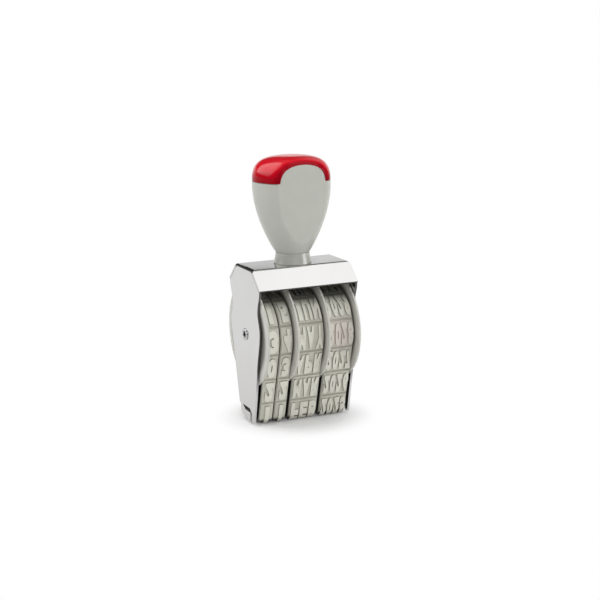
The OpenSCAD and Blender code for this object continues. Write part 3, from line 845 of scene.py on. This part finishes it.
def type_band(node, labels):
    """A band with one label in each cell, made flat and then bent onto the loop."""
    low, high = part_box(node)
    slots = max(len(label) for label in labels)
    slot_w = (high.x - low.x - 2 * SIDE) / slots
    width = slot_w * (WORD_FILL if slots > 1 else DIGIT_FILL)
    cut = {c: cut_character(c, width, TYPE_LEN) for c in sorted(set("".join(labels)))}
    shell = flat_strip(low.x, high.x)
    for cell, label in enumerate(labels):
        for k, character in enumerate(label):
            x = (low.x + high.x) / 2 + (k - (len(label) - 1) / 2) * slot_w
            known = len(shell.verts)
            shell.from_mesh(cut[character])
            shell.verts.ensure_lookup_table()
            for v in shell.verts[known:]:
                v.co += Vector((x, cell * pitch - TYPE_SHIFT, 0.0))
    band = put(node + "_type", mesh_of(node + "_type", shell))
    pad = cell_pad(low.x, high.x)
    grow(band, band_tree, Line=band_line, Pad=pad, Cells=CELLS, Pitch=pitch,
         Start=(0.0, -TYPE_SHIFT, 0.0), Skin=skin, Rubber=rubber)
    bpy.data.objects.remove(pad)
    smooth_by_angle(band.data, TYPE_CREASE)
    settle(band, "frame", "band_rubber", node)


type_band("day_tens_band", list("312031203120"))
type_band("day_units_band", list("012345678901"))
type_band("month_band", MONTHS)
type_band("year_band", [str(FIRST_YEAR + i) for i in range(CELLS)])
bpy.data.objects.remove(band_line)

# %% [markdown]
# ## Collar
# The foot of the handle flares out to sit on the frame. It is spun like the wheels, with a hollow
# curve for the flare.

# %% Collar
FRAME_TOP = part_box("frame")[1].z
COLLAR_H, COLLAR_R, NECK_R, SPIGOT_R = 3.05 * MM, 5.3 * MM, 4.7 * MM, 3.25 * MM
FLARE_STEPS, FLARE_POWER, FOOT_SOFT, NECK_SOFT = 8, 1.4, 0.15 * MM, 0.12 * MM
flare = [(NECK_R + (COLLAR_R - NECK_R) * (1 - t) ** FLARE_POWER, COLLAR_H * t, 0.0)
         for t in (k / FLARE_STEPS for k in range(1, FLARE_STEPS))]
collar_outline = [(SPIGOT_R, 0.0, 0.0), (COLLAR_R, 0.0, FOOT_SOFT), *flare,
                  (NECK_R, COLLAR_H, NECK_SOFT), (SPIGOT_R, COLLAR_H, 0.0)]
collar = spun("flared_collar", filleted(collar_outline), shaded_collar_grey, ROUND_STEPS, False, FRAME_TOP)
settle(collar, "frame", "grip_plastic", "handle_collar")

# %% [markdown]
# ## Grip
# The grip is a pear shape of round section, with a flat face front and rear that leans outwards. The
# radius follows one rule over the height, and the flats limit it. Taking a soft minimum of the two
# rounds the edge between round and flat in one go, which no bevel on a cut edge does as evenly.

# %% Shape of the grip
HANDLE_H, FOOT_H, BELLY_H, BELLY_R = (v * MM for v in (29.7, 3.1, 22.1, 10.8))
TAPER_POWER, DOME_POWER = 0.88, 3.2
FLAT_Y, FLAT_LEAN = 7.9 * MM, math.tan(math.radians(4.5))
CAP_LOW, CAP_WALL = 23.1 * MM, 0.40 * MM


def grip_radius(z, inset=0.0):
    """Radius of the grip at a height over the frame."""
    if z < BELLY_H:
        swell = math.sin(math.pi / 2 * (z - FOOT_H) / (BELLY_H - FOOT_H)) ** TAPER_POWER
        return NECK_R + (BELLY_R - NECK_R) * swell - inset
    rise = min(1.0, (z - BELLY_H) / (HANDLE_H - BELLY_H - inset))
    return (BELLY_R - inset) * (1 - rise ** DOME_POWER) ** (1 / DOME_POWER)


def flat_distance(z):
    """Distance of the leaning flats from the middle at a height over the frame."""
    return FLAT_Y + (z - BELLY_H) * FLAT_LEAN


def soft_min(a, b, width):
    """The smaller of two values, rounded off where they are closer than the width."""
    overlap = max(width - abs(a - b), 0.0) / width
    return min(a, b) - overlap * overlap * width / 4


print("grip radius at the belly (mm):", round(grip_radius(BELLY_H) / MM, 2))

# %% [markdown]
# Rings of points up the grip make its skin. Under the cap the skin is drawn in by a hair, so that
# the cap lies on it.

# %% Grip
GRIP_RINGS, GRIP_SIDES, GRIP_CREASE = 110, 160, 50
FLAT_EDGE, CAP_SLIP = 0.28 * MM, 0.04 * MM
UNDER_CAP = CAP_WALL + CAP_SLIP


def grip_ring(z):
    """One ring of points round the grip, drawn in where the cap lies over it."""
    tuck = min(1.0, max(0.0, (z - CAP_LOW) / CAP_SLIP + 1.0)) * UNDER_CAP
    around = max(grip_radius(z) - tuck, 0.0)
    ring = []
    for j in range(GRIP_SIDES):
        a = 2 * math.pi * (j + 0.5) / GRIP_SIDES
        flat = flat_distance(z) / abs(math.sin(a))
        r = max(soft_min(around, flat, FLAT_EDGE), 0.0)
        ring.append((r * math.cos(a), r * math.sin(a), FRAME_TOP + z))
    return ring


shell = bmesh.new()
rings = [[shell.verts.new(p) for p in grip_ring(FOOT_H + (HANDLE_H - UNDER_CAP - FOOT_H)
                                                * math.sin(math.pi / 2 * k / GRIP_RINGS))]
         for k in range(GRIP_RINGS)]
for low_ring, high_ring in zip(rings, rings[1:]):
    for j in range(GRIP_SIDES):
        k = (j + 1) % GRIP_SIDES
        shell.faces.new((low_ring[j], low_ring[k], high_ring[k], high_ring[j]))
shell.faces.new(list(reversed(rings[0])))
shell.faces.new(rings[-1])
bmesh.ops.recalc_face_normals(shell, faces=shell.faces)
mesh = mesh_of("pear_grip", shell)
smooth_by_angle(mesh, GRIP_CREASE)
mesh.materials.append(grip_grey)
settle(put("pear_grip", mesh), "frame", "grip_plastic", "handle_grip")

# %% [markdown]
# ## Cap
# The red cap is a thin shell over the top, cut off by the two flats and by a level lower edge. It is
# laid out as a patch: one direction runs over the top from left to right, the other from the front
# flat to the rear flat. The same patch, drawn in by the wall, closes it from inside.

# %% Lines of the cap
CAP_PROUD, CAP_EDGE, CAP_CREASE = 0.03 * MM, 0.07 * MM, 40
ARCH_START, ARCH_SOFT = 0.80, 0.24 * MM
PATCH_V, PATCH_U, HALVINGS = 48, 40, 60


def cap_line(v, inset):
    """One line of the patch, over the top from right to left, rounded off towards the flats."""
    if inset == 0.0:
        inset = ARCH_SOFT * max(0.0, (abs(v) - ARCH_START) / (1.0 - ARCH_START)) ** 2
    low, high = CAP_LOW, HANDLE_H - inset
    for _ in range(HALVINGS):
        mid = (low + high) / 2
        if grip_radius(mid, inset) > abs(v) * (flat_distance(mid) + CAP_PROUD):
            low = mid
        else:
            high = mid
    half = []
    for k in range(PATCH_U + 1):
        z = CAP_LOW + (low - CAP_LOW) * math.sin(math.pi / 2 * k / PATCH_U)
        y = v * (flat_distance(z) + CAP_PROUD)
        x = math.sqrt(max(grip_radius(z, inset) ** 2 - y ** 2, 0.0)) if k < PATCH_U else 0.0
        half.append((x, y, FRAME_TOP + z))
    return half + [(-x, y, z) for x, y, z in reversed(half[:-1])]


print("points in a line of the cap:", len(cap_line(0.0, CAP_WALL)))

# %% Cap
shell = bmesh.new()
patches = []
for inset in (0.0, CAP_WALL):
    patches.append([[shell.verts.new(p) for p in cap_line(2 * i / PATCH_V - 1, inset)]
                    for i in range(PATCH_V + 1)])
outer, inner = patches
for patch in patches:
    for first, second in zip(patch, patch[1:]):
        for j in range(2 * PATCH_U):
            shell.faces.new((first[j], first[j + 1], second[j + 1], second[j]))
for i in (0, PATCH_V):
    for j in range(2 * PATCH_U):
        shell.faces.new((outer[i][j], outer[i][j + 1], inner[i][j + 1], inner[i][j]))
for j in (0, 2 * PATCH_U):
    for i in range(PATCH_V):
        shell.faces.new((outer[i][j], outer[i + 1][j], inner[i + 1][j], inner[i][j]))
bmesh.ops.recalc_face_normals(shell, faces=shell.faces)
mesh = mesh_of("cap_shell", shell)
smooth_by_angle(mesh, CAP_CREASE)
mesh.materials.append(cap_red)
cap = plain_mesh(bevel(put("cap_shell", mesh), CAP_EDGE, degrees=CAP_CREASE))
settle(cap, "frame", "cap_plastic", "handle_cap")

# %% [markdown]
# ## Hidden hardware
# The screw, its washer, the insert and the two spacers sit inside and keep their CAD shape. They
# only need their finishes.

# %% Hidden hardware
for node, metal in (("handle_screw", steel), ("screw_washer", steel), ("left_spacer", steel),
                    ("right_spacer", steel), ("handle_insert", brass)):
    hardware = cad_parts[node].data
    hardware.materials.clear()
    hardware.materials.append(metal)
    print(node, "gets", metal.name)

# %% [markdown]
# ## Floor
# A white sweep: near the stamp the floor is a plain white surface that takes the shadow, and further
# out it fades to even white. The camera and mirror reflections see the whitened floor, while the
# light that the floor throws on the stamp comes from its plain surface.

# %% Floor finish
FLOOR_HALF, FLOOR_DROP, FADE_NEAR, FADE_FAR = 30.0, 0.02 * MM, 0.010, 0.024
PAPER, GLOW = (0.84, 0.84, 0.84, 1.0), (1.0, 1.0, 1.0, 1.0)
NEAR_GLOW, FAR_GLOW = 0.05, 1.0

white = bpy.data.materials.new("studio_floor")
white.use_nodes = True
tree = white.node_tree
tree.nodes.clear()
surface = add(tree, "ShaderNodeBsdfDiffuse", Color=PAPER)
near_glow = add(tree, "ShaderNodeEmission", Color=GLOW, Strength=NEAR_GLOW)
far_glow = add(tree, "ShaderNodeEmission", Color=GLOW, Strength=FAR_GLOW)
lit = add(tree, "ShaderNodeAddShader", surface.outputs[0], near_glow.outputs[0])
place = add(tree, "ShaderNodeTexCoord")
away = add(tree, "ShaderNodeVectorMath", place.outputs["Object"], how="LENGTH")
fade = add(tree, "ShaderNodeMapRange", Value=away.outputs["Value"], From_Min=FADE_NEAR,
           From_Max=FADE_FAR)
fade.interpolation_type = "SMOOTHSTEP"
seen = add(tree, "ShaderNodeMixShader", fade.outputs["Result"], lit.outputs[0], far_glow.outputs[0])
path = add(tree, "ShaderNodeLightPath").outputs
mirrored = maths(tree, "MAXIMUM", path["Is Glossy Ray"], path["Is Transmission Ray"])
looked_at = maths(tree, "MAXIMUM", path["Is Camera Ray"], mirrored)
chosen = add(tree, "ShaderNodeMixShader", looked_at, surface.outputs[0], seen.outputs[0])
add(tree, "ShaderNodeOutputMaterial", Surface=chosen.outputs[0])
print("floor finish:", white.name, "nodes:", len(tree.nodes))

# %% Floor sheet
shell = bmesh.new()
bmesh.ops.create_grid(shell, x_segments=1, y_segments=1, size=FLOOR_HALF)
for v in shell.verts:
    v.co.z = -FLOOR_DROP
mesh = mesh_of("floor", shell)
mesh.materials.append(white)
floor = put("floor", mesh)
print("floor half width (m):", FLOOR_HALF)

# %% [markdown]
# ## Room
# A polished sheet shows the room, so the room is drawn: a white horizon, one bright wall behind on
# the right with a dim window beside it, dark walls above that, and a grey ceiling. A dark wall next
# to a bright floor is what gives bent metal its crisp dark lines. The white that the camera sees
# behind the stamp is the floor.

# %% Room
WALL, BRIGHT_WALL, WINDOW, CEILING = 0.04, 0.85, 0.35, 0.25
HORIZON_Z, WALL_Z, CEILING_Z = (0.01, 0.04), (0.189, 0.203), (0.58, 0.80)
WALL_AT, WALL_EDGE = (0.40, 0.917, 0.0), (0.60, 0.85)
WINDOW_AT, WINDOW_EDGE = (0.75, 0.54, 0.37), (0.88, 0.96)

world = bpy.data.worlds.new("studio")
bpy.context.scene.world = world
world.use_nodes = True
tree = world.node_tree
tree.nodes.clear()
look = add(tree, "ShaderNodeTexCoord").outputs["Generated"]
look_up = add(tree, "ShaderNodeSeparateXYZ", Vector=look).outputs["Z"]


def facing(direction):
    """How far the view into the room agrees with a direction."""
    return add(tree, "ShaderNodeVectorMath", look, direction, how="DOT_PRODUCT").outputs["Value"]


horizon = spread(tree, look_up, 1.0 - WALL, 0.0, *HORIZON_Z)
wall_low = spread(tree, look_up, 1.0, 0.0, *WALL_Z)
wall_right = spread(tree, facing(WALL_AT), 0.0, BRIGHT_WALL - WALL, *WALL_EDGE)
bright_wall = maths(tree, "MULTIPLY", wall_low, wall_right)
window = spread(tree, facing(WINDOW_AT), 0.0, WINDOW, *WINDOW_EDGE)
ceiling = spread(tree, look_up, WALL, CEILING, *CEILING_Z)
brightest = maths(tree, "MAXIMUM", maths(tree, "MAXIMUM", horizon, bright_wall), window)
room = add(tree, "ShaderNodeBackground", Color=maths(tree, "ADD", brightest, ceiling), Strength=1.0)
add(tree, "ShaderNodeOutputWorld", Surface=room.outputs[0])
print("room nodes:", len(tree.nodes))

# %% [markdown]
# ## Lamps
# Four soft boxes: a large one high behind on the left gives the cap its highlight, a small bright one
# in front throws the crisp shadow of the skirt on the bands, one overhead is what the sloped skirt
# mirrors, and a low one on the right lights the collar. Their power comes from the brightness that
# the box should have, because that is what a reflection shows.

# %% Lamps
LAMP_AIM = Vector((0.0, 0.0, 0.03))


def soft_box(name, spot, size, brightness):
    """A square area lamp that faces the stamp, with the brightness of its surface."""
    data = bpy.data.lights.new(name, "AREA")
    data.shape, data.size = "SQUARE", size
    data.energy = brightness * math.pi * size ** 2
    lamp = bpy.data.objects.new(name, data)
    bpy.context.scene.collection.objects.link(lamp)
    lamp.location = spot
    lamp.rotation_mode = "QUATERNION"
    lamp.rotation_quaternion = (LAMP_AIM - Vector(spot)).to_track_quat("-Z", "Y")
    print(name, "watts:", round(data.energy, 2), "size (m):", size)


soft_box("left_box", (-0.60, 0.35, 0.70), 1.20, 1.7)
soft_box("front_box", (-0.15, -0.81, 0.60), 0.45, 4.9)
soft_box("skirt_box", (0.34, -0.145, 0.80), 0.70, 1.18)
soft_box("right_box", (0.80, -0.45, 0.22), 0.40, 4.4)
